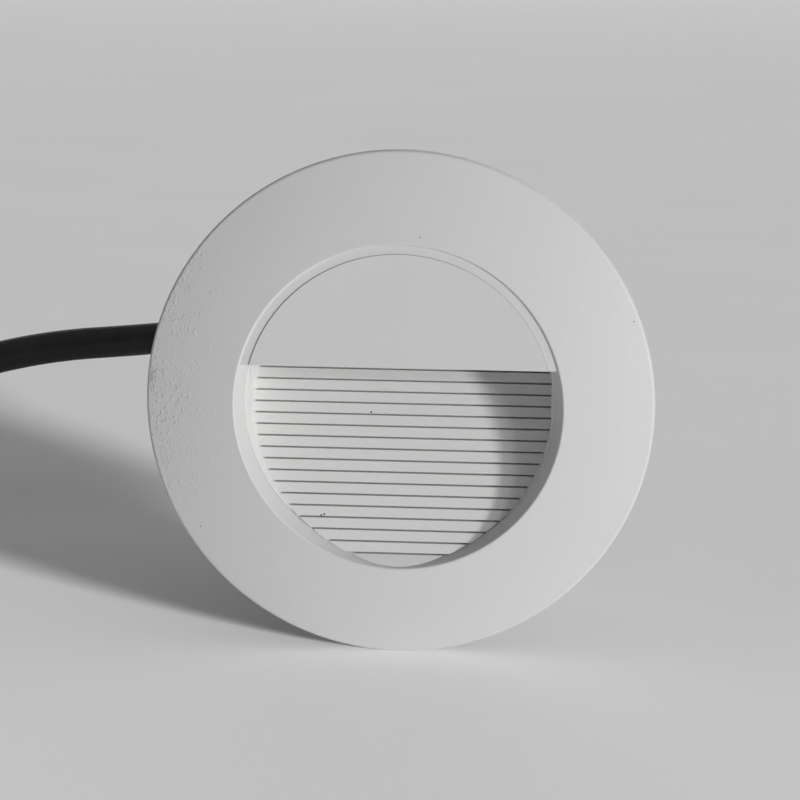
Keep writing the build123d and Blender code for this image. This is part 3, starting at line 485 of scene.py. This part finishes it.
core_finishes = {
    "brown": plain_moulding("core_brown", (0.14, 0.05, 0.02), 0.4),
    "blue": plain_moulding("core_blue", (0.02, 0.1, 0.42), 0.4),
    "earth": striped_core(),
}
core_radius = 1.15 * mm
core_gap = 0.1 * mm
core_spread = core_radius + core_gap
core_lift = core_spread / math.sqrt(3)
tail_runs = (4.0 * mm, 10.0 * mm, 9.0 * mm)
tail_nesting = 0.75 * mm
tail_bends = (0, 34, 66)
tail_fanning = (0, 4, 12)
tail_falls = (0.0, 1.0 * mm, 1.4 * mm)
ferrule_collar_wall = 0.32 * mm
lowest_tail = floor_height + core_radius + ferrule_collar_wall
end_way = coil_way(coil_turns)
heading = math.degrees(math.atan2(end_way.y, end_way.x))
side_way = Vector((-end_way.y, end_way.x, 0))
for number, name in enumerate(("brown", "blue", "earth")):
    lift = 2 * core_lift if number == 1 else -core_lift
    place = sheath_end + side_way * ((number - 1) * core_spread) + Vector((0, 0, lift))
    route = [place]
    for run, bend, fan, fall in zip(tail_runs, tail_bends, tail_fanning, tail_falls):
        turn = math.radians(heading + bend + fan * number)
        length = run - tail_nesting * number if bend else run
        height = max(place.z - fall, lowest_tail)
        place = Vector((place.x + length * math.cos(turn), place.y + length * math.sin(turn), height))
        route.append(place)
    tail = round_wire(f"tail_{name}", route, core_radius, core_finishes[name])
    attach(tail, "light")
    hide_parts(f"core_{name}")
    paint(f"inner_core_{name}", core_finishes[name])
paint("core_ferrules", plain_moulding("ferrule_collar", (0.7, 0.7, 0.68), 0.4))

# --- Spring clips ---------------------------------------------------------------------------
# A zinc-plated bracket, a riveted pin, a stainless arm with a rubber sleeve on its tip and
# a torsion spring that swings the arm out against the back of the wall.

paint("clip_bracket_right clip_bracket_left clip_pin_right clip_pin_left", zinc)
spring_steel = bright_steel("stainless_steel", (0.6, 0.59, 0.57), 0.28, (14, 14, 1))
paint("clip_arm_right clip_arm_left", spring_steel)
paint("clip_sleeve_right clip_sleeve_left", rubber_finish("sleeve_rubber", (0.015, 0.015, 0.015), 0.55))

hinge_reach = 31.7 * mm
hinge_depth = 22 * mm
wire_radius = 0.3 * mm
spring_radius = 1.85 * mm
spring_turns = 5.5
spring_pitch = 0.85 * mm
spring_half = spring_turns * spring_pitch / 2
arm_angle = math.radians(-68)
leg_slant = math.pi / 4
fixed_angle = math.pi
wound_angle = arm_angle - leg_slant + math.ceil(spring_turns) * math.tau - fixed_angle
fixed_leg = 4.5 * mm
leg_to_bend = 3.67 * mm
leg_bend = 0.58 * mm
moving_leg = 3.5 * mm
steps_in_turn = 24


def spring_route():
    """The wire's route about the hinge: a leg on the bracket, the coils and a leg on the arm."""
    steps = round(wound_angle / math.tau * steps_in_turn)
    coils = []
    for step in range(steps + 1):
        angle = fixed_angle + wound_angle * step / steps
        height = spring_half * (2 * step / steps - 1)
        coils.append(Vector((spring_radius * math.cos(angle), spring_radius * math.sin(angle), height)))
    backwards = Vector((0, 1, 0))
    outwards = (coils[-1] - coils[-2]).normalized()
    along_arm = Vector((math.cos(arm_angle), math.sin(arm_angle), 0))
    corner = coils[-1] + outwards * (leg_to_bend + leg_bend)
    legs_end = corner + along_arm * (leg_bend + moving_leg)
    first_leg = [coils[0] + backwards * fixed_leg, coils[0] + backwards * fixed_leg / 2]
    last_leg = [corner - outwards * leg_bend * 2, corner - outwards * leg_bend, corner]
    return first_leg + coils + last_leg + [corner + along_arm * leg_bend, legs_end]


for side, hand in (("right", 1), ("left", -1)):
    route = [Vector((hand * (hinge_reach + x), hinge_depth + y, z)) for x, y, z in spring_route()]
    wire = round_wire(f"wire_{side}", route, wire_radius, spring_steel)
    mesh = bpy.data.meshes.new_from_object(wire)
    bpy.data.objects.remove(wire)
    spring = bpy.data.objects.new(f"spring_{side}", mesh)
    bpy.context.scene.collection.objects.link(spring)
    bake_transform(spring)
    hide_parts(f"clip_spring_{side}")

# --- Surface and backdrop -------------------------------------------------------------------
# A pale matt sheet of paper that runs back under the light and curves up far behind it.
# A painted light makes it paler in front of the light, and a painted shade darkens it towards the bend.


def sweep_sheet():
    """A floor that bends up into a backdrop, as one long sheet."""
    half_width = 2.2
    front = -1.6
    bend_start = 2.9
    bend_radius = 0.7
    top = 2.4
    profile = [(front, 0.0), (bend_start, 0.0)]
    bend_steps = 24
    for step in range(1, bend_steps + 1):
        angle = math.pi / 2 * step / bend_steps
        profile.append((bend_start + bend_radius * math.sin(angle), bend_radius * (1 - math.cos(angle))))
    profile.append((bend_start + bend_radius, top))
    sheet = bmesh.new()
    rows = []
    for depth, height in profile:
        ends = (-half_width, half_width)
        rows.append([sheet.verts.new((x, depth, floor_height + height)) for x in ends])
    for near, far in zip(rows, rows[1:]):
        face = sheet.faces.new((near[0], near[1], far[1], far[0]))
        face.smooth = True
    mesh = bpy.data.meshes.new("sheet")
    sheet.to_mesh(mesh)
    sheet.free()
    piece = bpy.data.objects.new("sheet", mesh)
    bpy.context.scene.collection.objects.link(piece)
    return piece


def paper_finish():
    finish, shader, place = new_finish("paper", Roughness=0.9, Specular_IOR_Level=0.1)
    cloud = noise(place, 90 * mm)
    fibre = noise(place, 2.5 * mm, detail=4)
    mottle = ramp(cloud + fibre * 0.2, 0.4, 0.8)
    paper = two_colours(mottle, (0.835, 0.835, 0.84, 1), (0.86, 0.86, 0.865, 1))
    _, depth, _ = axes(place)
    # Painted light: the paper's colour is paler just in front of the light.
    with_painted_light_in_front = two_colours(ramp(depth, -0.08, 0.04), (0.94, 0.94, 0.945, 1), paper)
    # Painted shade: the paper's colour darkens from there back to the bend.
    tint(shader, two_colours(ramp(depth, 0.2, 2.6), with_painted_light_in_front, (0.7, 0.7, 0.705, 1)))
    emboss(shader, fibre, 0.02 * mm)
    return finish


surface = sweep_sheet()
surface.data.materials.append(paper_finish())

# --- Lamps ----------------------------------------------------------------------------------
# Soft daylight from the right. The real light seems to lean back, so that one lamp is level
# with its axis and still shines down on the surface. Upright, the light and the surface each
# have their own lamps from that side.


def lamp_way(azimuth, elevation):
    """The direction to a lamp, turned to the right of the light's front and raised."""
    flat = math.cos(math.radians(elevation))
    turn = math.radians(azimuth)
    return Vector((math.sin(turn) * flat, -math.cos(turn) * flat, math.sin(math.radians(elevation))))


def hang(name, kind, way, energy):
    """Hangs a lamp of a kind that shines against a direction."""
    lamp = bpy.data.lights.new(name, kind)
    lamp.energy = energy
    piece = bpy.data.objects.new(name, lamp)
    piece.rotation_euler = way.to_track_quat("Z", "Y").to_euler()
    bpy.context.scene.collection.objects.link(piece)
    return piece


def softbox(name, azimuth, elevation, height, watts):
    """A flat lamp seen from the light's front at an angle to the right and up."""
    way = lamp_way(azimuth, elevation)
    piece = hang(name, "AREA", way, watts)
    piece.location = way * softbox_distance
    piece.data.shape = "RECTANGLE"
    piece.data.size = softbox_width
    piece.data.size_y = height
    return piece


def reach(piece, link_state):
    """Makes a lamp light the surface alone, INCLUDE, or everything but it, EXCLUDE."""
    group = bpy.data.collections.new(f"{piece.name}_reach")
    group.objects.link(surface)
    piece.light_linking.receiver_collection = group
    group.collection_objects[0].light_linking.link_state = link_state


softbox_distance = 2.8
softbox_width = 0.3
reach(softbox("low_key", azimuth=50, elevation=1.5, height=0.26, watts=44.5), "EXCLUDE")
reach(softbox("high_key", azimuth=43, elevation=14, height=0.3, watts=10), "EXCLUDE")
surface_key = hang("surface_key", "SUN", lamp_way(azimuth=43, elevation=10), energy=5.8)
surface_key.data.angle = math.radians(8)
reach(surface_key, "INCLUDE")

room = bpy.data.worlds.new("room")
room.use_nodes = True
sky = room.node_tree
sky_lean = 0.4
darkest_sky = 0.01
brightest_sky = 0.31
sideways, _, upwards = axes(Flow(sky, sky.nodes.new("ShaderNodeTexCoord").outputs["Generated"]))
glow = ramp(upwards + sideways * sky_lean, 0.0, 1.0, darkest_sky, brightest_sky)
feed(sky, glow, sky.nodes["Background"].inputs["Strength"])
sky.nodes["Background"].inputs["Color"].default_value = (1, 1, 1, 1)
bpy.context.scene.world = room

# --- Camera ---------------------------------------------------------------------------------
# A long lens close in front of the light, a little to the right of its axis and above it,
# and rolled by half a degree.

view_azimuth = math.radians(4.5)
view_elevation = math.radians(11)
view_distance = 0.45
view_lift = 0.53 * mm
view_roll = math.radians(0.5)
towards_camera = Vector(
    (
        math.sin(view_azimuth) * math.cos(view_elevation),
        -math.cos(view_azimuth) * math.cos(view_elevation),
        math.sin(view_elevation),
    )
)
view = bpy.data.cameras.new("camera")
view.lens = 121.1
view.sensor_width = 36
view.clip_start = 0.01
camera = bpy.data.objects.new("camera", view)
bpy.context.scene.collection.objects.link(camera)
camera.matrix_world = (
    Matrix.Translation(towards_camera * view_distance + Vector((0, 0, view_lift)))
    @ towards_camera.to_track_quat("Z", "Y").to_matrix().to_4x4()
    @ Matrix.Rotation(view_roll, 4, "Z")
)
bpy.context.scene.camera = camera
bpy.context.scene.view_settings.view_transform = "Standard"
